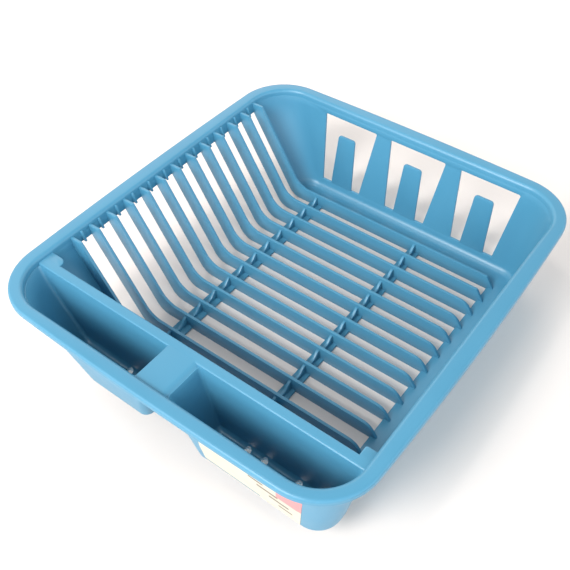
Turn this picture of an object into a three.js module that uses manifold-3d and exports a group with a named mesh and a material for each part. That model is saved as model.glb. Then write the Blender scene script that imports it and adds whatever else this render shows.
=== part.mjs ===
// A shallow moulded drying rack: a rounded tub with an open grille of upright slats,
// two cutlery wells along its front, and a paper label on one well.
// Millimetres, +Z up, the slats run along X, the wells are at -Y,
// and the origin is on the table under the middle of the rim.

import * as THREE from "three";
import { mergeVertices } from "three/addons/utils/BufferGeometryUtils.js";
import Module from "manifold-3d";

const wasm = await Module();
wasm.setup();

// Driving dimensions.
const PITCH = 19; // from one slat to the next
const SLATS = 13;
const HEIGHT = 90; // table to the top of the rim
const WALL = 2; // thickness of every moulded wall
const GAP = 0.3; // clearance where two nodes meet
const DRAFT = 0.165; // how far a steep wall leans out for each mm of height
const FAR = 200; // beyond every face, for blocks that only cut

// The rim: a flat flange with a short lip that hangs from its outer edge.
const RIM_HALF_X = 159.5;
const RIM_HALF_Y = 177.4;
const RIM_BOW_X = 1.8;
const RIM_BOW_Y = 1.7;
const RIM_SHY = 0.9; // how much further in the right side's ends stand
const RIM_RADIUS = 46;
const RIM_ROUND = 1.8;
const LIP_DROP = 6;

// The tub's inner outline at the height of the rim, before the draft takes it in.
const TUB_LEFT = -147.7;
const TUB_RIGHT = 148;
const TUB_BACK = 166.6;
const TUB_FRONT = -167.6;
const FRONT_DRAFT = 0.14;
const TUB_RADIUS = 35;
const FOOT_RADIUS = 17;
const WALL_TOP = HEIGHT - WALL - GAP;

// The left wall: a short upright band, then an open slope down to the floor.
const BAND_FOOT_Z = 78;
const BAND_DRAFT = 0.15;
const SLOPE = 0.607; // run over rise of the sloping wall

// The floor ledge round the grille.
const LEDGE_TOP = 2.2;
const LEDGE_LOW = LEDGE_TOP - WALL;
const FOOT_Z = LEDGE_TOP + GAP;
const FILLET = 5; // depth of the curve where a wall meets the ledge

// Slats, numbered from the front.
const SLAT_THICK = 2.4;
const SLAT_DEPTH = 13.6;
const SLAT_1_FRONT = -101.2;
const SLAT_END_X = 118.4;
const GRILLE_END_X = 113.6;

// Crossbars under the slats.
const CROSSBARS = { left: [-77.6, -64.1], middle: [33.3, 44.2] };
const STRIP_THICK = 2;
const RIB_HALF = 1; // half the thickness of a crossbar rib or band rib

// Back wall windows and the prong that stands in each.
const WINDOWS = 3;
const WINDOW_PITCH = 71.2;
const WINDOW_MID_X = 10.7;
const WINDOW_LOW = 11.6;
const WINDOW_HIGH = 79.8;
const WINDOW_LOW_LEFT = 21.6;
const WINDOW_LOW_RIGHT = 20.5;
const WINDOW_HALF_HIGH = 28;
const WINDOW_CORNER = 2.5;
const PRONG_HALF_LOW = 11.6;
const PRONG_HALF_HIGH = 9;
const PRONG_TOP = 66;
const PRONG_PROUD = 3.8; // how far the prong's tip stands in from the wall
const PRONG_CORNER = 3;

// The divider between the grille and the wells.
const DIVIDER_TOP = 86.5;
const DIVIDER_FRONT = -134.2;
const DIVIDER_BACK = -126.2;
const DIVIDER_RADIUS = 4;
const DIVIDER_REACH = 9; // how far its node runs back along the side walls
const PADS = { left: [-146.2, -130.4, 6.2], right: [138.9, 146.6, 7.8] };

// Cutlery wells.
const WELL_FLOOR = 24;
const WELL_BASE = 3; // thickness of a well's floor
const WELL_FILLET = 5;
const WELL_CORNER = 5;
const WELL_FOOT_RADIUS = { left: 40, right: FOOT_RADIUS }; // big front corner, at the floor
const WELL_CUT_Y = -90;
const BRIDGE_LEFT = -14;
const BRIDGE_RIGHT = 13.8;
const LEFT_WELL_DRAFT = 0.12;
const RIGHT_WELL_DRAFT = 0.233;
const DRAIN_Y = -137.9;
const DRAIN_RADIUS = 3;
const DRAINS = { left: [-59.8, -44.8], right: [56.5, 71.5, 101.5, 116.5] };

// The label on the front of the right-hand well.
const LABEL = { low: 23.6, high: 76, lowEnds: [38, 119.5], highEnds: [32, 125], corner: 1.5, thick: 0.3 };

const plastic = new THREE.MeshStandardMaterial({ color: 0x5fa9cf, roughness: 0.38, metalness: 0 });
const paper = new THREE.MeshStandardMaterial({ color: 0xf1ecdc, roughness: 0.8, metalness: 0 });

const rack = new THREE.Group();

// Solids.

function solid(geometry) {
  const bare = geometry.clone();
  bare.deleteAttribute("normal");
  bare.deleteAttribute("uv");
  const merged = mergeVertices(bare, 1e-4);
  const vertProperties = new Float32Array(merged.attributes.position.array);
  const triVerts = new Uint32Array(merged.index.array);
  return new wasm.Manifold(new wasm.Mesh({ numProp: 3, vertProperties, triVerts }));
}

function geometryOf(body) {
  const mesh = body.getMesh();
  const geometry = new THREE.BufferGeometry();
  geometry.setAttribute("position", new THREE.BufferAttribute(new Float32Array(mesh.vertProperties), 3));
  geometry.setIndex(new THREE.BufferAttribute(new Uint32Array(mesh.triVerts), 1));
  geometry.computeVertexNormals();
  return geometry;
}

function add(name, body, material = plastic) {
  const mesh = new THREE.Mesh(geometryOf(body), material);
  mesh.name = name;
  rack.add(mesh);
}

function block(x0, x1, y0, y1, z0, z1) {
  const geometry = new THREE.BoxGeometry(x1 - x0, y1 - y0, z1 - z0);
  geometry.translate((x0 + x1) / 2, (y0 + y1) / 2, (z0 + z1) / 2);
  return solid(geometry);
}

// A closed body through horizontal rings of equally many points, lowest ring first.
function loft(rings) {
  const count = rings[0].length;
  const points = rings.flat();
  const index = [];
  for (let level = 0; level < rings.length - 1; level += 1) {
    for (let i = 0; i < count; i += 1) {
      const a = level * count + i;
      const b = level * count + ((i + 1) % count);
      index.push(a, b, b + count, a, b + count, a + count);
    }
  }
  const top = (rings.length - 1) * count;
  for (let i = 1; i < count - 1; i += 1) {
    index.push(0, i + 1, i);
    index.push(top, top + i, top + i + 1);
  }
  const geometry = new THREE.BufferGeometry().setFromPoints(points);
  geometry.setIndex(index);
  return solid(geometry);
}

// A rounded rectangle at height z; corners run counter-clockwise from back right.
function roundedRing({ z, x0, x1, y0, y1, radii }, steps = 8) {
  const corners = [
    [x1 - radii[0], y1 - radii[0], 0],
    [x0 + radii[1], y1 - radii[1], 1],
    [x0 + radii[2], y0 + radii[2], 2],
    [x1 - radii[3], y0 + radii[3], 3],
  ];
  return corners.flatMap(([cx, cy, quarter]) => {
    const arc = [];
    for (let i = 0; i <= steps; i += 1) {
      const angle = (quarter + i / steps) * (Math.PI / 2);
      const radius = radii[quarter];
      arc.push(new THREE.Vector3(cx + radius * Math.cos(angle), cy + radius * Math.sin(angle), z));
    }
    return arc;
  });
}

function squareRing({ z, x0, x1, y0, y1 }) {
  return [[x1, y1], [x0, y1], [x0, y0], [x1, y0]].map(([x, y]) => new THREE.Vector3(x, y, z));
}

// An outline in the XZ plane, pushed along Y.
function plateAlongY(shape, y0, y1, curveSegments = 8) {
  const geometry = new THREE.ExtrudeGeometry(shape, { depth: y1 - y0, bevelEnabled: false, curveSegments });
  geometry.rotateX(Math.PI / 2);
  geometry.translate(0, y1, 0);
  return solid(geometry);
}

// An outline in the YZ plane, pushed along X.
function plateAlongX(points, x0, x1) {
  const shape = new THREE.Shape(points.map(([y, z]) => new THREE.Vector2(y, z)));
  const geometry = new THREE.ExtrudeGeometry(shape, { depth: x1 - x0, bevelEnabled: false });
  const basis = new THREE.Matrix4().set(0, 0, 1, x0, 1, 0, 0, 0, 0, 1, 0, 0, 0, 0, 0, 1);
  geometry.applyMatrix4(basis);
  return solid(geometry);
}

function plateAlongZ(points, z0, z1) {
  const shape = new THREE.Shape(points.map(([x, y]) => new THREE.Vector2(x, y)));
  const geometry = new THREE.ExtrudeGeometry(shape, { depth: z1 - z0, bevelEnabled: false });
  geometry.translate(0, 0, z0);
  return solid(geometry);
}

// An upright plate at Y = 0 leaned over, so that it passes through yLow at zLow and yHigh at zHigh.
function leaning(plate, zLow, yLow, zHigh, yHigh) {
  const shear = (yHigh - yLow) / (zHigh - zLow);
  return plate.transform([1, 0, 0, 0, 0, 1, 0, 0, 0, shear, 1, 0, 0, yLow - shear * zLow, 0, 1]);
}

// A closed outline whose corners are rounded by arcs of the given radii.
function roundedShape(points, radii) {
  const shape = new THREE.Shape();
  points.forEach((point, i) => {
    const corner = new THREE.Vector2(...point);
    const before = new THREE.Vector2(...points[(i + points.length - 1) % points.length]).sub(corner);
    const after = new THREE.Vector2(...points[(i + 1) % points.length]).sub(corner);
    const half = Math.abs(before.angleTo(after)) / 2;
    const reach = radii[i] > 0 ? radii[i] / Math.tan(half) : 0;
    const start = before.normalize().multiplyScalar(reach).add(corner);
    const end = after.normalize().multiplyScalar(reach).add(corner);
    if (i === 0) shape.moveTo(start.x, start.y);
    else shape.lineTo(start.x, start.y);
    if (reach > 0) shape.quadraticCurveTo(corner.x, corner.y, end.x, end.y);
  });
  shape.closePath();
  return shape;
}

// Where the tub's inner faces are at height z.

const steep = (z) => DRAFT * (HEIGHT - z);
const rightAt = (z) => TUB_RIGHT - steep(z);
const backAt = (z) => TUB_BACK - steep(z);
const frontAt = (z) => TUB_FRONT + FRONT_DRAFT * (HEIGHT - z);
const dividerBackAt = (z) => DIVIDER_BACK + DRAFT * (DIVIDER_TOP - z);

function leftAt(z) {
  const band = TUB_LEFT + BAND_DRAFT * (HEIGHT - Math.max(z, BAND_FOOT_Z));
  return band + SLOPE * Math.max(0, BAND_FOOT_Z - z);
}

// How much a foot fillet takes in at height z, and the corner radius there.
const filletAt = (z) => Math.max(0, FILLET - (z - LEDGE_TOP)) ** 2 / (2 * FILLET);
const blend = (a, b, z) => a + ((b - a) * (HEIGHT - z)) / HEIGHT;

function tubLevel(z, grow) {
  const fillet = filletAt(z);
  const back = blend(TUB_RADIUS, FOOT_RADIUS, z) + grow;
  const front = DIVIDER_RADIUS + grow;
  return {
    z,
    x0: leftAt(z) + fillet - grow,
    x1: rightAt(z) - fillet + grow,
    y0: dividerBackAt(z) + fillet - grow,
    y1: backAt(z) - fillet + grow,
    radii: [back, back, front, front],
  };
}

const TUB_LEVELS = [FOOT_Z, FOOT_Z + 1.5, FOOT_Z + 3.5, FOOT_Z + 6, BAND_FOOT_Z, WALL_TOP];

function tubShell() {
  const outer = loft(TUB_LEVELS.map((z) => roundedRing(tubLevel(z, WALL))));
  const past = [FOOT_Z - 1, ...TUB_LEVELS.slice(1, -1), WALL_TOP + 1];
  const inner = loft(past.map((z) => roundedRing(tubLevel(z, 0))));
  return outer.subtract(inner);
}

// A wedge that follows the tub's sides, inset from them along X, for cutting the shell into walls.
function wedge(inset, y0, y1) {
  const levels = [FOOT_Z - 2, FOOT_Z + 1.5, FOOT_Z + 3.5, FOOT_Z + 6, BAND_FOOT_Z, HEIGHT];
  return loft(
    levels.map((z) => {
      const level = tubLevel(z, 0);
      return squareRing({ z, x0: level.x0 + inset(z), x1: level.x1 - inset(z), y0, y1 });
    }),
  );
}

const slatFront = (k) => SLAT_1_FRONT + (k - 1) * PITCH;
const GRILLE_FRONT = slatFront(1) - GAP;
const GRILLE_BACK = slatFront(SLATS) + SLAT_THICK + GAP;

// Walls.

function windowCutter(i) {
  const mid = WINDOW_MID_X + (i - 1) * WINDOW_PITCH;
  const outline = [
    [mid - WINDOW_LOW_LEFT, WINDOW_LOW],
    [mid + WINDOW_LOW_RIGHT, WINDOW_LOW],
    [mid + WINDOW_HALF_HIGH, WINDOW_HIGH],
    [mid - WINDOW_HALF_HIGH, WINDOW_HIGH],
  ];
  return plateAlongY(roundedShape(outline, [1.5, 1.5, WINDOW_CORNER, WINDOW_CORNER]), 120, 190, 4);
}

function addTubWalls() {
  const shell = tubShell();
  const cornerAt = (z) => blend(TUB_RADIUS, FOOT_RADIUS, z);
  const betweenCorners = wedge((z) => cornerAt(z) + GAP / 2, 60, FAR);
  const outsideCorners = wedge((z) => cornerAt(z) - GAP / 2, 60, FAR);
  let back = shell.intersect(betweenCorners);
  for (let i = 0; i < WINDOWS; i += 1) back = back.subtract(windowCutter(i));
  add("wall_back", back);

  const sides = shell.subtract(outsideCorners);
  const cornerStart = TUB_BACK - TUB_RADIUS;
  add("corner_back_left", sides.intersect(block(-FAR, 0, GRILLE_BACK, FAR, 0, HEIGHT)));
  add("corner_back_right", sides.intersect(block(0, FAR, cornerStart + GAP / 2, FAR, 0, HEIGHT)));

  const flank = sides.subtract(dividerZone(GAP));
  add("wall_right", flank.intersect(block(0, FAR, -140, cornerStart - GAP / 2, 0, HEIGHT)));
  add("wall_left_front", flank.intersect(block(-FAR, 0, -140, GRILLE_FRONT, 0, HEIGHT)));
  const band = block(-FAR, 0, GRILLE_FRONT + GAP, GRILLE_BACK - GAP, BAND_FOOT_Z, HEIGHT);
  add("wall_left_band", flank.intersect(band));
  addDivider(shell);
}

// Everything in front of a leaning plane just behind the divider, so its ends turn the corners.
function dividerZone(grow) {
  const behind = (z) => dividerBackAt(z) + DIVIDER_REACH + grow;
  return plateAlongX([[-FAR, 0], [behind(0), 0], [behind(HEIGHT), HEIGHT], [-FAR, HEIGHT]], -FAR, FAR);
}

// The divider's flat top with a pad flaring back at each end.
function dividerTop() {
  const clear = 2 * GAP;
  const x0 = leftAt(DIVIDER_TOP) + clear;
  const x1 = rightAt(DIVIDER_TOP - WALL) - clear;
  let top = block(x0, x1, DIVIDER_FRONT, DIVIDER_BACK, DIVIDER_TOP - WALL, DIVIDER_TOP);
  Object.values(PADS).forEach(([left, right, reach]) => {
    const outline = [
      [Math.max(left, x0), DIVIDER_BACK - 2],
      [Math.min(right, x1), DIVIDER_BACK - 2],
      [Math.min(right, x1), DIVIDER_BACK + reach],
      [Math.max(left, x0), DIVIDER_BACK + reach],
    ];
    top = top.add(plateAlongZ(outline, DIVIDER_TOP - WALL, DIVIDER_TOP));
  });
  return top;
}

function addDivider(shell) {
  const low = block(-FAR, FAR, -160, -100, 0, DIVIDER_TOP - WALL / 2);
  add("divider", shell.intersect(dividerZone(0)).intersect(low).add(dividerTop()));
}

// The flange: a ring of cross-sections from the tub's inner edge out to the bowed lip.

function rimStations() {
  const level = { z: 0, x0: TUB_LEFT, x1: TUB_RIGHT, y0: TUB_FRONT, y1: TUB_BACK };
  const inner = roundedRing({ ...level, radii: Array(4).fill(TUB_RADIUS) }, 10);
  const outerLevel = { z: 0, x0: -RIM_HALF_X, x1: RIM_HALF_X - RIM_SHY, y0: -RIM_HALF_Y, y1: RIM_HALF_Y };
  const outer = roundedRing({ ...outerLevel, radii: Array(4).fill(RIM_RADIUS) }, 10);
  const stations = [];
  const perCorner = 11;
  const sideSteps = 6;
  for (let i = 0; i < inner.length; i += 1) {
    stations.push([inner[i], outer[i]]);
    if (i % perCorner !== perCorner - 1) continue;
    const next = (i + 1) % inner.length;
    for (let j = 1; j < sideSteps; j += 1) {
      const t = j / sideSteps;
      stations.push([inner[i].clone().lerp(inner[next], t), outer[i].clone().lerp(outer[next], t)]);
    }
  }
  return stations;
}

// The long sides of the lip bow out by a parabola.
function bowed(point) {
  const out = point.clone();
  const alongX = Math.max(0, 1 - (point.x / (RIM_HALF_X - RIM_RADIUS)) ** 2);
  const alongY = Math.max(0, 1 - (point.y / (RIM_HALF_Y - RIM_RADIUS)) ** 2);
  if (Math.abs(point.y) > RIM_HALF_Y - 0.1) out.y += Math.sign(point.y) * RIM_BOW_Y * alongX;
  if (point.x < 0.1 - RIM_HALF_X) out.x -= RIM_BOW_X * alongY;
  if (point.x > RIM_HALF_X - RIM_SHY - 0.1) out.x += (RIM_BOW_X + RIM_SHY) * alongY;
  return out;
}

function addRim() {
  const half = RIM_ROUND / 2;
  const profile = [
    [0, HEIGHT - WALL],
    [0, HEIGHT - 0.7],
    [0.7, HEIGHT],
    [-RIM_ROUND, HEIGHT, "out"],
    [-half / 2, HEIGHT - half / 2, "out"],
    [0, HEIGHT - RIM_ROUND, "out"],
    [0, HEIGHT - LIP_DROP, "out"],
    [-WALL, HEIGHT - LIP_DROP, "out"],
    [-WALL, HEIGHT - WALL, "out"],
  ];
  const stations = rimStations();
  const points = [];
  stations.forEach(([inner, outer]) => {
    const edge = bowed(outer);
    const outward = edge.clone().sub(inner).normalize();
    profile.forEach(([offset, z, from]) => {
      const base = from === "out" ? edge : inner;
      const point = base.clone().addScaledVector(outward, offset);
      points.push(new THREE.Vector3(point.x, point.y, z));
    });
  });
  const index = [];
  const sides = profile.length;
  for (let s = 0; s < stations.length; s += 1) {
    const next = (s + 1) % stations.length;
    for (let p = 0; p < sides; p += 1) {
      const q = (p + 1) % sides;
      const corners = [s * sides + p, next * sides + p, next * sides + q, s * sides + q];
      index.push(corners[0], corners[2], corners[1], corners[0], corners[3], corners[2]);
    }
  }
  const geometry = new THREE.BufferGeometry().setFromPoints(points);
  geometry.setIndex(index);
  add("rim_flange", solid(geometry));
}

// The floor ledge in three strips.

function addLedges() {
  const foot = tubLevel(LEDGE_TOP, WALL);
  const sheet = loft([
    roundedRing(tubLevel(LEDGE_TOP, WALL)).map((p) => p.clone().setZ(LEDGE_LOW)),
    roundedRing(tubLevel(LEDGE_TOP, WALL)),
  ]);
  const front = sheet.intersect(block(-FAR, FAR, -FAR, GRILLE_FRONT, 0, HEIGHT));
  const back = sheet.intersect(block(-FAR, FAR, GRILLE_BACK, FAR, 0, HEIGHT));
  const right = block(GRILLE_END_X, foot.x1, GRILLE_FRONT + GAP, GRILLE_BACK - GAP, LEDGE_LOW, LEDGE_TOP);
  const corner = [
    [GRILLE_END_X - 8, slatFront(SLATS) - GAP],
    [GRILLE_END_X + 1, slatFront(SLATS - 1) + SLAT_THICK + GAP],
    [GRILLE_END_X + 1, slatFront(SLATS) - GAP],
  ];
  add("floor_ledge_front", front);
  add("floor_ledge_back", back);
  add("floor_ledge_right", right.add(plateAlongZ(corner, LEDGE_LOW, LEDGE_TOP)));
}

// Slats: hooked under the rim, down the slope, along the floor and down onto the ledge.

function slatOutline() {
  const bandX = (z) => leftAt(z) + GAP;
  const hookTop = WALL_TOP - GAP;
  const outerX = (z) => leftAt(z) - GAP;
  const depthX = SLAT_DEPTH * Math.sqrt(1 + SLOPE * SLOPE) * 0.93;
  const hookEnd = leftAt(hookTop) + 11;
  const bendZ = BAND_FOOT_Z - (hookEnd - depthX - leftAt(BAND_FOOT_Z)) / SLOPE;
  const footX = leftAt(0);
  const points = [
    [bandX(hookTop), hookTop, 0],
    [bandX(BAND_FOOT_Z - GAP), BAND_FOOT_Z - GAP, 0],
    [outerX(BAND_FOOT_Z - GAP), BAND_FOOT_Z - GAP, 0],
    [footX, 0, 12],
    [CROSSBARS.left[0] - GAP, 0, 0],
  ];
  Object.values(CROSSBARS).forEach(([x0, x1]) => {
    const clear = STRIP_THICK + GAP;
    points.push([x0 - GAP, 0, 0], [x0 - GAP, clear, 0], [x1 + GAP, clear, 0], [x1 + GAP, 0, 0]);
  });
  points.push(
    [GRILLE_END_X - GAP, 0, 0],
    [GRILLE_END_X - GAP, FOOT_Z, 0],
    [SLAT_END_X, FOOT_Z, 0],
    [SLAT_END_X - 3.2, SLAT_DEPTH - 3.4, 0],
    [SLAT_END_X - 8.5, SLAT_DEPTH, 0],
    [footX + depthX - SLOPE * SLAT_DEPTH, SLAT_DEPTH, 16],
    [hookEnd, Math.min(bendZ, hookTop), 4],
    [hookEnd - 0.5, hookTop, 0],
  );
  return points.filter((p, i) => i === 0 || p[0] !== points[i - 1][0] || p[1] !== points[i - 1][1]);
}

function addSlats() {
  const outline = slatOutline();
  const shape = roundedShape(outline.map(([x, z]) => [x, z]), outline.map((p) => p[2]));
  for (let k = 1; k <= SLATS; k += 1) {
    const name = `slat_${String(k).padStart(2, "0")}`;
    add(name, plateAlongY(shape, slatFront(k), slatFront(k) + SLAT_THICK, 6));
  }
}

// A crossbar: a strip under every slat with a dipped rib in each bay.

function bayRibOutline(k) {
  const near = slatFront(k) + SLAT_THICK + GAP;
  const far = slatFront(k + 1) - GAP;
  const at = (t) => near + (far - near) * t;
  return [
    [near, STRIP_THICK - 0.5],
    [far, STRIP_THICK - 0.5],
    [far, SLAT_DEPTH - 1.5],
    [at(0.85), SLAT_DEPTH - 3.5],
    [at(0.62), 7],
    [at(0.4), 6],
    [at(0.18), 7.5],
    [near, SLAT_DEPTH - 4.5],
  ];
}

function addCrossbars() {
  Object.entries(CROSSBARS).forEach(([place, [x0, x1]]) => {
    const middle = (x0 + x1) / 2;
    let bar = block(x0, x1, slatFront(1), slatFront(SLATS) + SLAT_THICK, 0, STRIP_THICK);
    for (let k = 1; k < SLATS; k += 1) {
      bar = bar.add(plateAlongX(bayRibOutline(k), middle - RIB_HALF, middle + RIB_HALF));
    }
    add(`crossbar_${place}`, bar);
  });
}

// A small stiffening rib in each bay of the band under the left rim.

function addBandRibs() {
  const low = BAND_FOOT_Z + 0.4;
  const high = WALL_TOP - 0.6;
  const outline = [
    [leftAt(high) + GAP, high],
    [leftAt(low) + GAP, low],
    [leftAt(low) + 3.6, low],
    [leftAt(high) + 3, high - 2.5],
    [leftAt(high) + 1.2, high],
  ];
  const shape = roundedShape(outline, [0, 0, 0, 0, 0]);
  for (let k = 1; k < SLATS; k += 1) {
    const middle = slatFront(k) + (PITCH + SLAT_THICK) / 2;
    add(`band_rib_${String(k).padStart(2, "0")}`, plateAlongY(shape, middle - RIB_HALF, middle + RIB_HALF));
  }
}

// Prongs: flat tapering uprights that lean in a little from the back wall.

function addProngs() {
  const low = WINDOW_LOW + GAP;
  for (let i = 0; i < WINDOWS; i += 1) {
    const mid = WINDOW_MID_X + (i - 1) * WINDOW_PITCH;
    const outline = [
      [mid - PRONG_HALF_LOW, low],
      [mid + PRONG_HALF_LOW, low],
      [mid + PRONG_HALF_HIGH, PRONG_TOP],
      [mid - PRONG_HALF_HIGH, PRONG_TOP],
    ];
    const flat = plateAlongY(roundedShape(outline, [0, 0, PRONG_CORNER, PRONG_CORNER]), 0, WALL, 4);
    add(`cup_prong_${i + 1}`, leaning(flat, low, backAt(low), PRONG_TOP, backAt(PRONG_TOP) - PRONG_PROUD));
  }
}

// Cutlery wells. Each outline runs on past the divider and is cut off flat there.

const WELL_LEVELS = [WELL_FLOOR, WELL_FLOOR + 2, WELL_FLOOR + 5, BAND_FOOT_Z, WALL_TOP];
const wellFillet = (z) => Math.max(0, WELL_FILLET - (z - WELL_FLOOR)) ** 2 / (2 * WELL_FILLET);
const wellRise = (z) => (z - WELL_FLOOR) / (HEIGHT - WELL_FLOOR);
const bigCorner = (foot, z) => foot + (TUB_RADIUS - foot) * wellRise(z);

function leftWellLevel(z, grow) {
  const fillet = wellFillet(z);
  const small = WELL_CORNER + grow;
  return {
    z,
    x0: leftAt(z) + fillet - grow,
    x1: BRIDGE_LEFT - LEFT_WELL_DRAFT * (DIVIDER_TOP - z) - fillet + grow,
    y0: frontAt(z) + fillet - grow,
    y1: WELL_CUT_Y,
    radii: [small, small, bigCorner(WELL_FOOT_RADIUS.left, z) + grow, small],
  };
}

function rightWellLevel(z, grow) {
  const fillet = wellFillet(z);
  const small = WELL_CORNER + grow;
  return {
    z,
    x0: BRIDGE_RIGHT + RIGHT_WELL_DRAFT * (DIVIDER_TOP - z) + fillet - grow,
    x1: rightAt(z) - fillet + grow,
    y0: frontAt(z) + fillet - grow,
    y1: WELL_CUT_Y,
    radii: [small, small, small, bigCorner(WELL_FOOT_RADIUS.right, z) + grow],
  };
}

function drainHole(x) {
  const drill = new THREE.CylinderGeometry(DRAIN_RADIUS, DRAIN_RADIUS, 20, 18);
  drill.rotateY(0.1);
  drill.rotateX(Math.PI / 2);
  drill.translate(x, DRAIN_Y, WELL_FLOOR);
  return solid(drill);
}

function well(levelAt, drains) {
  const under = DIVIDER_TOP - WALL - GAP;
  const lowest = { ...levelAt(WELL_FLOOR, WALL), z: WELL_FLOOR - WELL_BASE };
  const outer = loft([lowest, ...WELL_LEVELS.map((z) => levelAt(z, WALL))].map((l) => roundedRing(l)));
  const highest = { ...levelAt(WALL_TOP, 0), z: WALL_TOP + 1 };
  const inner = loft([...WELL_LEVELS.map((z) => levelAt(z, 0)), highest].map((l) => roundedRing(l)));
  const body = outer.intersect(block(-FAR, FAR, -FAR, DIVIDER_FRONT + WALL, 0, HEIGHT));
  const hollow = inner.intersect(block(-FAR, FAR, -FAR, DIVIDER_FRONT, 0, HEIGHT));
  const divider = block(-FAR, FAR, DIVIDER_FRONT - GAP, -100, under, HEIGHT);
  const clear = 2 * GAP;
  const bridge = block(BRIDGE_LEFT - clear, BRIDGE_RIGHT + clear, -FAR, -100, under, HEIGHT);
  return drains.reduce(
    (tub, x) => tub.subtract(drainHole(x)),
    body.subtract(hollow).subtract(divider).subtract(bridge),
  );
}

function addWells() {
  add("utensil_well_left", well(leftWellLevel, DRAINS.left));
  add("utensil_well_right", well(rightWellLevel, DRAINS.right));
  const y0 = frontAt(DIVIDER_TOP - WALL) + GAP;
  const y1 = DIVIDER_FRONT - GAP;
  add("well_bridge", block(BRIDGE_LEFT, BRIDGE_RIGHT, y0, y1, DIVIDER_TOP - WALL, DIVIDER_TOP));
}

function addLabel() {
  const { low, high, lowEnds, highEnds, corner, thick } = LABEL;
  const outline = [
    [lowEnds[0], low],
    [lowEnds[1], low],
    [highEnds[1], high],
    [highEnds[0], high],
  ];
  const sheet = plateAlongY(roundedShape(outline, Array(4).fill(corner)), 0, thick, 4);
  const outside = (z) => frontAt(z) - WALL - GAP - thick;
  add("front_label", leaning(sheet, low, outside(low), high, outside(high)), paper);
}

addRim();
addTubWalls();
addLedges();
addSlats();
addCrossbars();
addBandRibs();
addProngs();
addWells();
addLabel();

export default rack;
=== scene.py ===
from math import asin, cos, pi, radians, sin, sqrt, tan

import bmesh
import bpy
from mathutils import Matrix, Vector


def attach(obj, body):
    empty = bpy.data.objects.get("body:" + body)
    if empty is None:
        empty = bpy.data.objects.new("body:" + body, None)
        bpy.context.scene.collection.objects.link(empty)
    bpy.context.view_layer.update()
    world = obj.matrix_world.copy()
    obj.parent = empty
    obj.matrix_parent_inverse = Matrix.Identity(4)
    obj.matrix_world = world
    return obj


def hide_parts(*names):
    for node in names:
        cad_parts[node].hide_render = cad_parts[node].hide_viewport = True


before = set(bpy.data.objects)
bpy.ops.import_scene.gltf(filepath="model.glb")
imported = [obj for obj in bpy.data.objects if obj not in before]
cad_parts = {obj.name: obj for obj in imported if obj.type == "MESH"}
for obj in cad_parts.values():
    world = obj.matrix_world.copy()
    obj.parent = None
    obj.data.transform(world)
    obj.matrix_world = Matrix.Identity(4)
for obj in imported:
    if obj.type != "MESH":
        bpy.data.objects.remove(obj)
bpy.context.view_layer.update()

# Sizes are in millimetres here and become metres when a mesh is made.
MM = 0.001
PITCH = 19
SLATS = 13
HEIGHT = 90
WALL = 2
DRAFT = 0.165
SKIN = 0.05  # one piece stands this far behind another where their faces run on

RIM_HALF_X, RIM_HALF_Y = 159.5, 177.4
RIM_BOW_X, RIM_BOW_Y = 1.75, 1.65
RIM_SHY = 0.9  # the right side's ends stand this much further in than the left's
RIM_RADIUS = 46
TUB_LEFT, TUB_RIGHT, TUB_BACK, TUB_FRONT = -147.7, 148, 166.6, -167.6
TUB_RADIUS, FOOT_RADIUS = 35, 17
FRONT_DRAFT = 0.14
BAND_FOOT = 78
BAND_DRAFT = 0.15
SLOPE = 0.607
LEDGE_TOP = 2.2
FILLET = 7
FRONT_FILLET = 0.62  # the divider's foot curve as a share of the others

SLAT_THICK = 2.4
SLAT_DEPTH = 13.6
SLAT_1_FRONT = -101.2
SLAT_END_X = 118.4
GRILLE_END_X = 113.6
GRILLE_FRONT = -101.4
GRILLE_BACK = 129.4
BAR_LEFT = (-77.6, -64.1)
BAR_MIDDLE = (33.3, 44.2)

SHELL_TOP = 84.5  # where the walls end, hidden inside the rim
DIVIDER_TOP = 86.5
DIVIDER_FRONT, DIVIDER_BACK = -134.2, -126.2
WELL_FLOOR = 24
WELL_BASE = 3  # thickness of a well's floor
WELL_CORNER = 5
WELL_LEFT_RADIUS = 40  # the left well's big front corner, at its floor
WELL_LEVELS = (SHELL_TOP, 70, 55, 42)
BRIDGE_LEFT, BRIDGE_RIGHT = -14, 13.8
BRIDGE_FOOT = 72
LEFT_WELL_DRAFT, RIGHT_WELL_DRAFT = 0.12, 0.233
DRAIN_Y, DRAIN_RADIUS = -137.9, 3
DRAINS_LEFT = (-59.8, -44.8)
DRAINS_RIGHT = (56.5, 71.5, 101.5, 116.5)

HOOK_TOP = 87.2  # where slats and band ribs end, just under the rim's face
WINDOWS = 3
WINDOW_MID_X, WINDOW_PITCH = 10.7, 71.2
WINDOW_LOW, WINDOW_HIGH = 11.6, 79.8
PRONG_LOW, PRONG_TOP = 11, 66
PRONG_HALF_LOW, PRONG_HALF_HIGH = 11.6, 9
PRONG_PROUD = 3.8  # how far a prong's tip stands in from the wall

LABEL_LOW, LABEL_HIGH = 23.6, 76
LABEL_LEFT, LABEL_RIGHT = (38, 32), (119.5, 125)  # each end's X, at the bottom and at the top


# ---- Materials -------------------------------------------------------------

def srgb(r, g, b):
    def lin(v):
        v /= 255
        return v / 12.92 if v <= 0.04045 else ((v + 0.055) / 1.055) ** 2.4
    return (lin(r), lin(g), lin(b), 1)


def noise(nodes, links, coords, scale, detail):
    node = nodes.new("ShaderNodeTexNoise")
    node.inputs["Scale"].default_value = scale
    node.inputs["Detail"].default_value = detail
    links.new(coords.outputs["Object"], node.inputs["Vector"])
    return node.outputs["Fac"]


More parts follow.
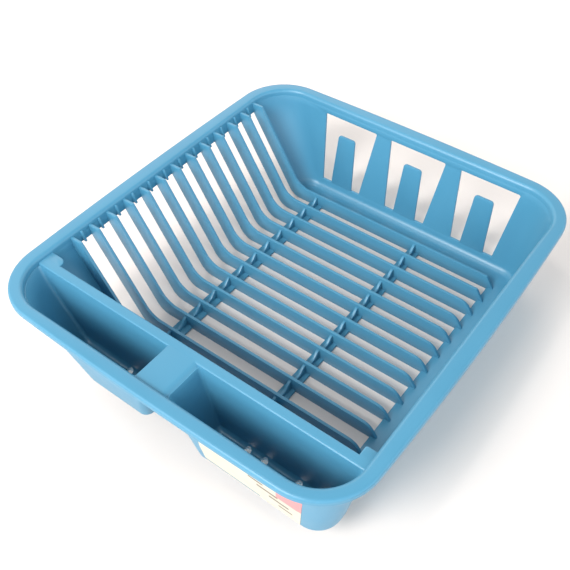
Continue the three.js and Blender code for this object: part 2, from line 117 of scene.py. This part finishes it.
def set_roughness(nodes, links, pattern, low, high, bsdf):
    """Roughness between low and high, by a noise pattern."""
    spread = nodes.new("ShaderNodeMapRange")
    spread.inputs["To Min"].default_value = low
    spread.inputs["To Max"].default_value = high
    links.new(pattern, spread.inputs["Value"])
    links.new(spread.outputs["Result"], bsdf.inputs["Roughness"])


def plastic_material():
    """Satin blue with a faint flow pattern, uneven gloss and a fine grain."""
    mat = bpy.data.materials.new("moulded_blue")
    mat.use_nodes = True
    nodes, links = mat.node_tree.nodes, mat.node_tree.links
    bsdf = nodes["Principled BSDF"]
    coords = nodes.new("ShaderNodeTexCoord")

    tint = nodes.new("ShaderNodeValToRGB")
    tint.color_ramp.elements[0].position = 0.35
    tint.color_ramp.elements[1].position = 0.68
    tint.color_ramp.elements[0].color = srgb(68, 132, 162)
    tint.color_ramp.elements[1].color = srgb(75, 138, 168)
    links.new(noise(nodes, links, coords, 9, 3), tint.inputs["Fac"])
    links.new(tint.outputs["Color"], bsdf.inputs["Base Color"])
    set_roughness(nodes, links, noise(nodes, links, coords, 60, 5), 0.28, 0.42, bsdf)

    bump = nodes.new("ShaderNodeBump")
    bump.inputs["Strength"].default_value = 0.05
    bump.inputs["Distance"].default_value = 0.0004
    links.new(noise(nodes, links, coords, 420, 2), bump.inputs["Height"])
    links.new(bump.outputs["Normal"], bsdf.inputs["Normal"])
    return mat


PLASTIC = plastic_material()


# ---- Mesh helpers ----------------------------------------------------------

def finish_piece(name, bm, nodes, material=PLASTIC, smooth=32):
    bmesh.ops.recalc_face_normals(bm, faces=bm.faces[:])
    mesh = bpy.data.meshes.new(name)
    bm.to_mesh(mesh)
    bm.free()
    obj = bpy.data.objects.new(name, mesh)
    bpy.context.scene.collection.objects.link(obj)
    mesh.materials.append(material)
    mesh.shade_smooth()
    mesh.set_sharp_from_angle(angle=radians(smooth))
    if nodes:
        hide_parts(*nodes)
    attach(obj, "root")
    return obj


def bake(obj, smooth=32):
    """Swap an object's mesh for the result of its modifiers."""
    graph = bpy.context.evaluated_depsgraph_get()
    graph.update()
    mesh = bpy.data.meshes.new_from_object(obj.evaluated_get(graph))
    old = obj.data
    obj.modifiers.clear()
    obj.data = mesh
    mesh.name = obj.name
    bpy.data.meshes.remove(old)
    mesh.shade_smooth()
    mesh.set_sharp_from_angle(angle=radians(smooth))


def soften(obj, width, segments=2, angle=35):
    mod = obj.modifiers.new("edges", "BEVEL")
    mod.width = width * MM
    mod.segments = segments
    mod.limit_method = "ANGLE"
    mod.angle_limit = radians(angle)
    mod.miter_outer = "MITER_ARC"
    mod.use_clamp_overlap = True


def add_ring(bm, points):
    return [bm.verts.new(Vector(p) * MM) for p in points]


def bridge_rings(bm, a, b):
    for i in range(len(a)):
        j = (i + 1) % len(a)
        bm.faces.new((a[i], a[j], b[j], b[i]))


def loft(rings, loop=False):
    """Faces through rings of equally many points, closed on themselves or capped."""
    bm = bmesh.new()
    rows = [add_ring(bm, r) for r in rings]
    for a, b in zip(rows, rows[1:]):
        bridge_rings(bm, a, b)
    if loop:
        bridge_rings(bm, rows[-1], rows[0])
    else:
        bm.faces.new(rows[0])
        bm.faces.new(rows[-1])
    return bm


def prism(outline, place, depth):
    """A flat outline pushed along its third axis; place(u, v, w) gives a point."""
    bm = bmesh.new()
    a = add_ring(bm, [place(u, v, 0) for u, v in outline])
    b = add_ring(bm, [place(u, v, depth) for u, v in outline])
    bridge_rings(bm, a, b)
    bm.faces.new(a)
    bm.faces.new(b)
    return bm


def rounded(points, radii, steps=5):
    """A closed outline with its corners turned into arcs."""
    out = []
    for i, p in enumerate(points):
        radius = radii[i] if isinstance(radii, (list, tuple)) else radii
        here = Vector(p)
        before = (Vector(points[i - 1]) - here)
        after = (Vector(points[(i + 1) % len(points)]) - here)
        if radius <= 0:
            out.append(tuple(here))
            continue
        half = before.angle(after) / 2
        before.normalize()
        after.normalize()
        reach = radius / tan(half)
        centre = here + (before + after).normalized() * radius / sin(half)
        start = here + before * reach - centre
        end = here + after * reach - centre
        sweep = start.angle_signed(end)
        for s in range(steps + 1):
            turn = -sweep * s / steps
            c, n = cos(turn), sin(turn)
            spot = Vector((start.x * c - start.y * n, start.x * n + start.y * c))
            out.append(tuple(centre + spot))
    return out


def combine(obj, parts, operation):
    """Add parts to obj or take them away, exactly."""
    for bm in parts:
        mesh = bpy.data.meshes.new("part")
        bmesh.ops.recalc_face_normals(bm, faces=bm.faces[:])
        bm.to_mesh(mesh)
        bm.free()
        tool = bpy.data.objects.new("part", mesh)
        bpy.context.scene.collection.objects.link(tool)
        mod = obj.modifiers.new("combine", "BOOLEAN")
        mod.object = tool
        mod.operation = operation
        mod.solver = "EXACT"
        bake(obj)
        bpy.data.objects.remove(tool)
        bpy.data.meshes.remove(mesh)


def quarter_turn(steps):
    """Angles from 0 to a right angle."""
    return [s / steps * pi / 2 for s in range(steps + 1)]


def box_bm(x0, x1, y0, y1, z0, z1):
    return prism([(x0, y0), (x1, y0), (x1, y1), (x0, y1)], lambda u, v, w: (u, v, z0 + w), z1 - z0)


def along_y(y0):
    return lambda u, v, w: (u, y0 + w, v)


def along_x(x0):
    return lambda u, v, w: (x0 + w, u, v)


# ---- Where the moulding's faces are ------------------------------------------

def steep(z):
    return DRAFT * (HEIGHT - z)


def right_at(z):
    return TUB_RIGHT - steep(z)


def back_at(z):
    return TUB_BACK - steep(z)


def front_at(z):
    return TUB_FRONT + FRONT_DRAFT * (HEIGHT - z)


def divider_back_at(z):
    return DIVIDER_BACK + DRAFT * (DIVIDER_TOP - z)


def left_at(z):
    return TUB_LEFT + BAND_DRAFT * (HEIGHT - max(z, BAND_FOOT)) + SLOPE * max(0, BAND_FOOT - z)


def corner_at(z):
    return TUB_RADIUS + (FOOT_RADIUS - TUB_RADIUS) * (HEIGHT - z) / HEIGHT


def slat_front(k):
    return SLAT_1_FRONT + (k - 1) * PITCH


def window_middle(i):
    return WINDOW_MID_X + (i - 1) * WINDOW_PITCH


def rounded_ring(x0, x1, y0, y1, radii, z, steps=14, sides=1):
    """Counter-clockwise from the back right corner; sides is how many spans a straight side has."""
    centres = [
        (x1 - radii[0], y1 - radii[0]), (x0 + radii[1], y1 - radii[1]),
        (x0 + radii[2], y0 + radii[2]), (x1 - radii[3], y0 + radii[3]),
    ]
    points = []
    for quarter, (cx, cy) in enumerate(centres):
        for s in range(steps + 1):
            a = (quarter + s / steps) * pi / 2
            points.append(Vector((cx + radii[quarter] * cos(a), cy + radii[quarter] * sin(a), z)))
    if sides == 1:
        return points
    full = []
    for i, p in enumerate(points):
        full.append(p)
        if i % (steps + 1) == steps:
            q = points[(i + 1) % len(points)]
            full += [p.lerp(q, t / sides) for t in range(1, sides)]
    return full


# ---- Rim -------------------------------------------------------------------

RIM_TURN_STEPS, SIDE_SPANS = 18, 24  # faces round each corner and along each side


def rim_inner(z, grow=0):
    r = corner_at(z) + grow
    return rounded_ring(left_at(z) - grow, right_at(z) + grow, front_at(z) - grow, back_at(z) + grow,
                        [r] * 4, z, RIM_TURN_STEPS, SIDE_SPANS)


def rim_outer():
    right = RIM_HALF_X - RIM_SHY
    ring = rounded_ring(-RIM_HALF_X, right, -RIM_HALF_Y, RIM_HALF_Y, [RIM_RADIUS] * 4, 0,
                        RIM_TURN_STEPS, SIDE_SPANS)
    out = []
    for p in ring:
        q = p.copy()
        along_x_side = max(0, 1 - (p.x / (RIM_HALF_X - RIM_RADIUS)) ** 2)
        along_y_side = max(0, 1 - (p.y / (RIM_HALF_Y - RIM_RADIUS)) ** 2)
        if abs(p.y) > RIM_HALF_Y - 0.05:
            q.y += (1 if p.y > 0 else -1) * RIM_BOW_Y * along_x_side
        if p.x > right - 0.05:
            q.x += (RIM_BOW_X + RIM_SHY) * along_y_side
        if p.x < 0.05 - RIM_HALF_X:
            q.x -= RIM_BOW_X * along_y_side
        out.append(q)
    return out


def build_rim():
    top = rim_inner(HEIGHT)
    outer = rim_outer()

    def between(inset, drop, from_outer):
        ring = []
        for a, b in zip(top, outer):
            way = (b - Vector((a.x, a.y, 0)))
            way.z = 0
            way.normalize()
            base = b if from_outer else a
            ring.append(Vector((base.x, base.y, 0)) + way * inset + Vector((0, 0, HEIGHT - drop)))
        return ring

    roll, edge, lip = 2.6, 2.2, 5.4
    wall_levels = (80, 84)
    rings = [rim_inner(z) for z in wall_levels]
    for a in quarter_turn(6):
        drop = roll * (1 - sin(a))
        inset = roll * (1 - cos(a)) - steep(HEIGHT - drop) * cos(a)
        rings.append(between(inset, drop, False))
    for a in quarter_turn(6):
        rings.append(between(-edge * (1 - sin(a)), edge * (1 - cos(a)), True))
    lip_rings = ((0, lip - 0.5), (-0.4, lip), (-1.4, lip), (-1.8, lip - 0.5), (-WALL, edge + 1),
                 (-WALL - 1, WALL + 0.2), (-WALL - 2, WALL))
    rings += [between(inset, drop, True) for inset, drop in lip_rings]
    rings += [between(WALL + 2, WALL, False), between(WALL + 0.6, WALL + 1, False)]
    rings += [rim_inner(z, WALL) for z in reversed(wall_levels)]
    return finish_piece("rim_and_flange", loft(rings, loop=True), ["rim_flange"])


# ---- Basin: the walls, their foot fillet and the floor ledge ------------------

def basin_ring(z, grow, inset=0, level=None):
    r = max(corner_at(z) - inset, 1) + grow
    f = max(4 - inset, 1) + grow
    return rounded_ring(left_at(z) + inset - grow, right_at(z) - inset + grow,
                        divider_back_at(z) + inset * FRONT_FILLET - grow, back_at(z) - inset + grow,
                        [r, r, f, f], z if level is None else level)


def cove_levels():
    """Height, how far in and the turn, down the curve at the foot of the walls."""
    steps = 7
    steepest = radians(82)
    depth = FILLET * 0.85
    turns = [s / steps * steepest for s in range(steps + 1)]
    return [(LEDGE_TOP + depth - depth * sin(a) / sin(steepest), FILLET * (1 - cos(a)), a) for a in turns]


def window_outline(i):
    mid = window_middle(i)
    points = [(mid - 21.6, WINDOW_LOW), (mid + 20.5, WINDOW_LOW),
              (mid + 28, WINDOW_HIGH), (mid - 28.2, WINDOW_HIGH)]
    return rounded(points, [1, 1, 1.4, 1.4])


def build_basin():
    levels = (SHELL_TOP, BAND_FOOT, 62, 46, 30, 20)
    rings = [basin_ring(z, -SKIN) for z in levels]
    rings += [basin_ring(z, -SKIN, inset) for z, inset, _ in cove_levels()]
    for z in (LEDGE_TOP, LEDGE_TOP - WALL):
        rings.append(rounded_ring(-88, GRILLE_END_X, GRILLE_FRONT, GRILLE_BACK, [0.8] * 4, z))
    for z, inset, a in reversed(cove_levels()):
        rings.append(basin_ring(z, WALL * cos(a), inset, z - WALL * sin(a)))
    rings += [basin_ring(z, WALL) for z in reversed(levels)]
    obj = finish_piece("basin_walls", loft(rings, loop=True),
                       ["wall_back", "wall_right", "wall_left_band", "wall_left_front", "corner_back_left",
                        "corner_back_right", "floor_ledge_back", "floor_ledge_front", "floor_ledge_right"])
    cutters = [box_bm(-200, -87, -100.4, 128.2, -10, BAND_FOOT)]
    cutters += [prism(window_outline(i), along_y(120), 80) for i in range(WINDOWS)]
    combine(obj, cutters, "DIFFERENCE")
    soften(obj, 0.6, 2, 40)
    bake(obj)


# ---- Slats -----------------------------------------------------------------

def slat_outline(k):
    """A slat from the side: down the band and the slope, along the floor and up to its end."""
    foot_x = left_at(0)
    lean = sqrt(1 + SLOPE * SLOPE)
    depth_x = SLAT_DEPTH * lean * 0.95
    hook = left_at(HOOK_TOP) + 11.2
    bend = BAND_FOOT - (hook - depth_x - left_at(BAND_FOOT)) / SLOPE
    under_band = BAND_FOOT - 0.2
    points = [
        (left_at(HOOK_TOP) - 0.6, HOOK_TOP),
        (left_at(BAND_FOOT) - 0.6, BAND_FOOT),
        (left_at(under_band) - 0.1, under_band),
        (foot_x, 0),
        (SLAT_END_X - 4, 0),
        (SLAT_END_X, LEDGE_TOP - 0.8),
        (SLAT_END_X + 0.3, LEDGE_TOP + 0.3),
        (SLAT_END_X - 7, SLAT_DEPTH),
        (foot_x + depth_x - SLOPE * SLAT_DEPTH, SLAT_DEPTH),
        (hook, bend),
        (hook - 0.4, HOOK_TOP),
    ]
    floor_end = 1.5 if k > SLATS - 2 else 12
    radii = [0, 0, 0, 15, 0, 0, 0, floor_end, 19, 6, 1.2]
    return rounded(points, radii, 8)


def build_slats():
    for k in range(1, SLATS + 1):
        name = f"slat_{k:02d}"
        bm = prism(slat_outline(k), along_y(slat_front(k)), SLAT_THICK)
        obj = finish_piece("grille_" + name, bm, [name])
        soften(obj, 0.55, 2, 50)
        bake(obj)


# ---- Crossbars ---------------------------------------------------------------

def bar_rib(k, low):
    """The dipped rib in one bay, in Y and Z; low is its lowest height mid-bay."""
    near = slat_front(k) + SLAT_THICK - 0.4
    far = slat_front(k + 1) + 0.4
    dips = [(0.9, SLAT_DEPTH - 3), (0.78, low + 4.6), (0.64, low + 1.6), (0.46, low + 0.2), (0.26, low),
            (0.12, low + 0.6)]
    points = [(near, 0.4), (far, 0.4), (far, SLAT_DEPTH - 2.6)]
    points += [(near + (far - near) * share, z) for share, z in dips]
    points.append((near, low + 1.6))
    return points


def build_crossbars():
    rib_thick = 2.6
    over = 1  # how far a strip runs past the first and last slats
    length = SLATS * PITCH - PITCH + SLAT_THICK + 2 * over
    for name, (x0, x1), low in (("left", BAR_LEFT, 4.2), ("middle", BAR_MIDDLE, 5.0)):
        strip = rounded([(x0, 0), (x1, 0), (x1, WALL), (x0, WALL)], 0.5, 3)
        finish_piece(f"crossbar_strip_{name}", prism(strip, along_y(slat_front(1) - over), length),
                     [f"crossbar_{name}"])
        middle = (x0 + x1) / 2
        for k in range(1, SLATS):
            bm = prism(bar_rib(k, low), along_x(middle - rib_thick / 2), rib_thick)
            rib = finish_piece(f"crossbar_{name}_rib_{k:02d}", bm, [])
            soften(rib, 0.5, 2, 50)
            bake(rib)


# ---- Band ribs and prongs ------------------------------------------------------

def build_band_ribs():
    thick = 2
    low, high = BAND_FOOT + 0.2, HOOK_TOP
    outline = [(left_at(high) - 0.8, high), (left_at(low) - 0.8, low), (left_at(low) + 3.4, low),
               (left_at(high) + 2.4, high - 2.5), (left_at(high) + 1.2, high)]
    for k in range(1, SLATS):
        y0 = slat_front(k) + (PITCH + SLAT_THICK) / 2 - thick / 2
        obj = finish_piece(f"band_gusset_{k:02d}", prism(outline, along_y(y0), thick), [f"band_rib_{k:02d}"])
        soften(obj, 0.4, 2, 50)
        bake(obj)


def build_prongs():
    low, high = PRONG_LOW, PRONG_TOP
    lean = (back_at(high) - PRONG_PROUD - back_at(low)) / (high - low)
    y0 = back_at(low) - 0.3
    for i in range(WINDOWS):
        mid = window_middle(i)
        points = [(mid - PRONG_HALF_LOW, low), (mid + PRONG_HALF_LOW, low),
                  (mid + PRONG_HALF_HIGH, high), (mid - PRONG_HALF_HIGH, high)]
        outline = rounded(points, [0, 0, 3, 3])
        bm = prism(outline, lambda u, v, w: (u, y0 + lean * (v - low) + w, v), WALL + 0.2)
        obj = finish_piece(f"window_prong_{i + 1}", bm, [f"cup_prong_{i + 1}"])
        soften(obj, 0.6, 2, 50)
        bake(obj)


# ---- Divider, wells and bridge --------------------------------------------------

def pad(x0, x1, reach, radii):
    """A thin plate that runs back from the divider's ledge beside a side wall."""
    y0, y1 = DIVIDER_BACK - 4, DIVIDER_BACK + reach

    def ring(inset, z):
        corners = [(x0 + inset, y0), (x1 - inset, y0), (x1 - inset, y1 - inset), (x0 + inset, y1 - inset)]
        return [Vector((u, v, z)) for u, v in rounded(corners, radii, 6)]

    return loft([ring(0, DIVIDER_TOP - WALL), ring(0, DIVIDER_TOP - 0.6), ring(0.2, DIVIDER_TOP - 0.2),
                 ring(0.6, DIVIDER_TOP)])


def build_divider():
    """The ledge along the divider's crest; the wells' back walls run up to its front edge."""
    top, foot = DIVIDER_TOP, BAND_FOOT
    profile = [
        (DIVIDER_FRONT - SKIN, top - WALL), (DIVIDER_FRONT - SKIN, top), (DIVIDER_BACK, top),
        (divider_back_at(foot) + SKIN, foot), (divider_back_at(foot) - WALL, foot),
        (DIVIDER_BACK - WALL, top - WALL),
    ]
    outline = rounded(profile, [0, 1.4, 1.5, 0, 0, 0.5], 6)
    x0, x1 = left_at(top) - 0.7, right_at(top) + 0.7
    obj = finish_piece("divider_ledge", prism(outline, along_x(x0), x1 - x0), ["divider"])
    pads = [pad(x0, -131.5, 6.4, [0, 0, 6, 0]), pad(138.9, x1, 7.8, [0, 0, 0, 1.5])]
    combine(obj, pads, "UNION")


def well_outline(x0, x1, y0, y1, front_left, front_right, back, steps=12):
    """A well's outline; a big front corner may be cut short by the divider's face."""
    def arc(cx, cy, radius, a0, a1):
        angles = [a0 + (a1 - a0) * s / steps for s in range(steps + 1)]
        return [(cx + radius * cos(a), cy + radius * sin(a)) for a in angles]

    def start(radius):
        """How far past level the arc meets the divider, and how far past that it may begin."""
        over = y0 + radius - y1
        return (asin(min(1, over / radius)), 4.5 / radius) if over > -3 else (0, 0)

    past_left, room_left = start(front_left)
    past_right, room_right = start(front_right)
    left = arc(x0 + front_left, y0 + front_left, front_left, pi + past_left + room_left, 1.5 * pi)
    right = arc(x1 - front_right, y0 + front_right, front_right, 1.5 * pi, 2 * pi - past_right - room_right)
    x_left = x0 + front_left * (1 - cos(past_left))
    x_right = x1 - front_right * (1 - cos(past_right))
    outline = left + right + [(x_right, y1), (x_left, y1)]
    return rounded(outline, [0] * (len(outline) - 2) + [back, back], 4)


def drain_hole(x):
    angles = [2 * pi * s / 28 for s in range(28)]
    circle = [(x + DRAIN_RADIUS * cos(a), DRAIN_Y + DRAIN_RADIUS * sin(a)) for a in angles]
    return prism(circle, lambda u, v, w: (u, v, 15 + w), 20)


def two_sided(inner, outer):
    """A tub's mesh: down the inner rings, across both floors, up the outer rings and over the edge."""
    bm = bmesh.new()
    inside = [add_ring(bm, r) for r in inner]
    outside = [add_ring(bm, r) for r in outer]
    for side in (inside, outside):
        for a, b in zip(side, side[1:]):
            bridge_rings(bm, a, b)
    bm.faces.new(inside[-1])
    bm.faces.new(outside[0])
    bridge_rings(bm, outside[-1], inside[0])
    return bm


def build_well(name, node, x0_at, x1_at, corners, drains):
    """corners(z) gives the front left and front right radii."""
    def ring(z, grow, inset=0):
        left, right = [max(radius - inset, 1.5) + grow for radius in corners(z)]
        outline = well_outline(x0_at(z) + inset - grow, x1_at(z) - inset + grow, front_at(z) + inset - grow,
                               DIVIDER_FRONT - inset + grow, left, right, 2.5 + max(grow, 0) * 0.3)
        return [Vector((x, y, z)) for x, y in outline]

    fillet, turn = 3.5, 2.2  # the floor's curve inside and outside
    base = WELL_FLOOR - WELL_BASE
    angles = quarter_turn(6)
    inner = [ring(z, -SKIN) for z in WELL_LEVELS]
    inner += [ring(WELL_FLOOR + fillet * (1 - sin(a)), -SKIN, fillet * (1 - cos(a))) for a in angles]
    outer = [ring(base + turn * (1 - sin(a)), WALL, turn * (1 - cos(a))) for a in reversed(angles)]
    outer += [ring(z, WALL) for z in reversed(WELL_LEVELS)]
    obj = finish_piece(name, two_sided(inner, outer), [node])
    combine(obj, [drain_hole(x) for x in drains], "DIFFERENCE")
    soften(obj, 0.35, 2, 50)
    bake(obj)


def well_rise(z):
    return (z - WELL_FLOOR) / (HEIGHT - WELL_FLOOR)


def big_corner(z, foot_radius):
    return foot_radius + (TUB_RADIUS - foot_radius) * well_rise(z)


def bridge_left(z):
    return BRIDGE_LEFT - LEFT_WELL_DRAFT * (DIVIDER_TOP - z)


def bridge_right(z):
    return BRIDGE_RIGHT + RIGHT_WELL_DRAFT * (DIVIDER_TOP - z)


def build_wells():
    build_well("tub_well_left", "utensil_well_left", left_at, bridge_left,
               lambda z: (big_corner(z, WELL_LEFT_RADIUS), WELL_CORNER), DRAINS_LEFT)
    build_well("tub_well_right", "utensil_well_right", bridge_right, right_at,
               lambda z: (WELL_CORNER, big_corner(z, FOOT_RADIUS)), DRAINS_RIGHT)


def build_bridge():
    """A saddle between the wells, with a thin skirt down each side."""
    low, top = BRIDGE_FOOT, DIVIDER_TOP
    profile = [
        (bridge_left(low) - SKIN * 2, low), (BRIDGE_LEFT - SKIN, top),
        (BRIDGE_RIGHT + SKIN, top), (bridge_right(low) + SKIN * 2, low),
        (bridge_right(low) - WALL, low), (BRIDGE_RIGHT - WALL, top - WALL),
        (BRIDGE_LEFT + WALL, top - WALL), (bridge_left(low) + WALL, low),
    ]
    outline = rounded(profile, [0, 0.8, 6, 0, 0, 4.5, 0.4, 0], 8)
    y0, y1 = front_at(top) - 1.5, DIVIDER_FRONT + 1.2
    finish_piece("bridge_between_wells", prism(outline, along_y(y0), y1 - y0), ["well_bridge"])


# ---- Label -----------------------------------------------------------------

def corner_dip(x, z):
    """How far the right well's big corner has curved back from its front wall at x."""
    radius = big_corner(z, FOOT_RADIUS) + WALL
    past = max(x - (right_at(z) + WALL - radius), 0)
    return radius - sqrt(radius * radius - past * past)


def build_label():
    """Paper 0.2 mm thick that follows the well's front and the start of its corner."""
    columns, rows = 24, 8

    def spot(share, rise, stand_off):
        """A point share of the way along and rise of the way up."""
        z = LABEL_LOW + (LABEL_HIGH - LABEL_LOW) * rise
        left = LABEL_LEFT[0] + (LABEL_LEFT[1] - LABEL_LEFT[0]) * rise
        right = LABEL_RIGHT[0] + (LABEL_RIGHT[1] - LABEL_RIGHT[0]) * rise
        x = left + (right - left) * share
        return Vector((x, front_at(z) - WALL - stand_off + corner_dip(x, z), z))

    rises = [r / rows for r in range(rows + 1)]
    rings = []
    for c in range(columns + 1):
        outer = [spot(c / columns, rise, 0.25) for rise in rises]
        inner = [spot(c / columns, rise, 0.05) for rise in rises]
        rings.append(outer + inner[::-1])
    finish_piece("paper_label", loft(rings), ["front_label"], PAPER)


def paper_material():
    """Cream paper with a pink patch, a blue-grey edge and soft grey bars instead of any print."""
    mat = bpy.data.materials.new("label_print")
    mat.use_nodes = True
    nodes, links = mat.node_tree.nodes, mat.node_tree.links
    bsdf = nodes["Principled BSDF"]
    coords = nodes.new("ShaderNodeTexCoord")
    split = nodes.new("ShaderNodeSeparateXYZ")
    links.new(coords.outputs["Object"], split.inputs["Vector"])

    def maths(operation, a, b, clamp=False):
        node = nodes.new("ShaderNodeMath")
        node.operation = operation
        node.use_clamp = clamp
        for socket, value in zip(node.inputs, (a, b)):
            if isinstance(value, (int, float)):
                socket.default_value = value
            else:
                links.new(value, socket)
        return node.outputs["Value"]

    def between(value, low, high):
        """1 between two sizes in millimetres, with edges 0.6 mm soft."""
        up = maths("MULTIPLY", maths("SUBTRACT", value, low * MM), 1600, True)
        down = maths("MULTIPLY", maths("SUBTRACT", high * MM, value), 1600, True)
        return maths("MULTIPLY", up, down)

    def over(under, mask, colour):
        mix = nodes.new("ShaderNodeMix")
        mix.data_type = "RGBA"
        links.new(mask, mix.inputs["Factor"])
        if isinstance(under, tuple):
            mix.inputs["A"].default_value = under
        else:
            links.new(under, mix.inputs["A"])
        mix.inputs["B"].default_value = colour
        return mix.outputs["Result"]

    x, z = split.outputs["X"], split.outputs["Z"]
    slant = maths("SUBTRACT", x, maths("MULTIPLY", z, 0.1))  # X, sheared to the label's sloping ends

    def patch(under, along, up, paint):
        """A patch of paint; along and up are its ends in millimetres."""
        return over(under, maths("MULTIPLY", between(slant, *along), between(z, *up)), paint)

    pink, grey, blue = srgb(204, 138, 140), srgb(118, 112, 104), srgb(98, 134, 156)
    fibre = noise(nodes, links, coords, 130, 4)
    colour = over(srgb(190, 184, 167), fibre, srgb(206, 201, 187))
    colour = patch(colour, (97, 130), (46, 90), pink)
    bars = (((99, 111), (31, 34)), ((91, 108), (37, 40.5)), ((81, 99), (43.5, 47)), ((74, 87), (50, 53)))
    for along, up in bars:
        colour = patch(colour, along, up, grey)
    colour = patch(colour, (30, 84), (24.6, 27), blue)
    colour = patch(colour, (29, 31.6), (24, 76), blue)
    links.new(colour, bsdf.inputs["Base Color"])
    set_roughness(nodes, links, fibre, 0.55, 0.75, bsdf)
    return mat


PAPER = paper_material()

build_rim()
build_basin()
build_slats()
build_crossbars()
build_band_ribs()
build_prongs()
build_divider()
build_wells()
build_bridge()
build_label()


# ---- Floor, light and camera ----------------------------------------------------

def build_floor():
    bm = bmesh.new()
    half = 3
    corners = [(-half, -half, 0), (half, -half, 0), (half, half, 0), (-half, half, 0)]
    bm.faces.new([bm.verts.new(c) for c in corners])
    mesh = bpy.data.meshes.new("table")
    bm.to_mesh(mesh)
    bm.free()
    obj = bpy.data.objects.new("table", mesh)
    bpy.context.scene.collection.objects.link(obj)
    mat = bpy.data.materials.new("table_white")
    mat.use_nodes = True
    bsdf = mat.node_tree.nodes["Principled BSDF"]
    bsdf.inputs["Base Color"].default_value = (0.8, 0.73, 0.69, 1)
    bsdf.inputs["Roughness"].default_value = 0.6
    mesh.materials.append(mat)
    obj.location.z = -0.0002


def area_light(name, spot, target, size, power, colour):
    """A round lamp; size is its diameter in metres and power is in watts."""
    light = bpy.data.lights.new(name, "AREA")
    light.shape = "DISK"
    light.size = size
    light.energy = power
    light.color = colour
    obj = bpy.data.objects.new(name, light)
    bpy.context.scene.collection.objects.link(obj)
    obj.location = spot
    way = Vector(target) - Vector(spot)
    obj.rotation_euler = way.to_track_quat("-Z", "Y").to_euler()


def build_world():
    """A bright band above the horizon, strongest in front, warm on the left and cool on the right."""
    world = bpy.data.worlds.new("studio")
    bpy.context.scene.world = world
    world.use_nodes = True
    nodes, links = world.node_tree.nodes, world.node_tree.links
    coords = nodes.new("ShaderNodeTexCoord")
    split = nodes.new("ShaderNodeSeparateXYZ")
    links.new(coords.outputs["Generated"], split.inputs["Vector"])

    side = nodes.new("ShaderNodeMapRange")
    side.inputs["From Min"].default_value = -1
    links.new(split.outputs["X"], side.inputs["Value"])
    tint = nodes.new("ShaderNodeMix")
    tint.data_type = "RGBA"
    tint.inputs["A"].default_value = (1, 0.93, 0.87, 1)
    tint.inputs["B"].default_value = (0.8, 0.92, 1, 1)
    links.new(side.outputs["Result"], tint.inputs["Factor"])

    band = nodes.new("ShaderNodeValToRGB")
    stops = band.color_ramp
    stops.elements[0].position = 0.05
    stops.elements[0].color = (0.5, 0.5, 0.5, 1)
    stops.elements[1].position = 0.95
    stops.elements[1].color = (0.2, 0.2, 0.2, 1)
    for spot, level in ((0.28, 1), (0.5, 0.9), (0.72, 0.28)):
        stop = stops.elements.new(spot)
        stop.color = (level, level, level, 1)
    links.new(split.outputs["Z"], band.inputs["Fac"])

    facing = nodes.new("ShaderNodeVectorMath")
    facing.operation = "DOT_PRODUCT"
    facing.inputs[1].default_value = (0.42, -0.68, 0)
    links.new(coords.outputs["Generated"], facing.inputs[0])
    front = nodes.new("ShaderNodeMapRange")
    front.inputs["From Min"].default_value = -0.8
    front.inputs["From Max"].default_value = 0.8
    front.inputs["To Min"].default_value = 1.5
    front.inputs["To Max"].default_value = 2.9
    links.new(facing.outputs["Value"], front.inputs["Value"])
    power = nodes.new("ShaderNodeMath")
    power.operation = "MULTIPLY"
    links.new(front.outputs["Result"], power.inputs[0])
    links.new(band.outputs["Color"], power.inputs[1])

    back = nodes["Background"]
    links.new(tint.outputs["Result"], back.inputs["Color"])
    links.new(power.outputs["Value"], back.inputs["Strength"])


def build_light():
    area_light("key", (-0.3, -1.9, 1.75), (0, 0, 0.04), 1.15, 60, (1, 0.99, 0.97))
    area_light("lamp", (-0.42, -0.25, 2.1), (0, 0, 0), 0.25, 5, (1, 0.98, 0.96))
    area_light("window", (-1.5, 1.25, 1.4), (-0.05, 0, 0.05), 1.8, 8, (1, 0.95, 0.95))
    build_world()


def build_camera():
    camera = bpy.data.cameras.new("camera")
    camera.sensor_width = 36
    camera.lens = 49.785
    obj = bpy.data.objects.new("camera", camera)
    bpy.context.scene.collection.objects.link(obj)
    obj.location = (0.2558, -0.3565, 0.5139)
    obj.rotation_euler = (0.74795, 0.002445, 0.644618)
    bpy.context.scene.camera = obj
    bpy.context.scene.view_settings.view_transform = "Standard"


build_floor()
build_light()
build_camera()
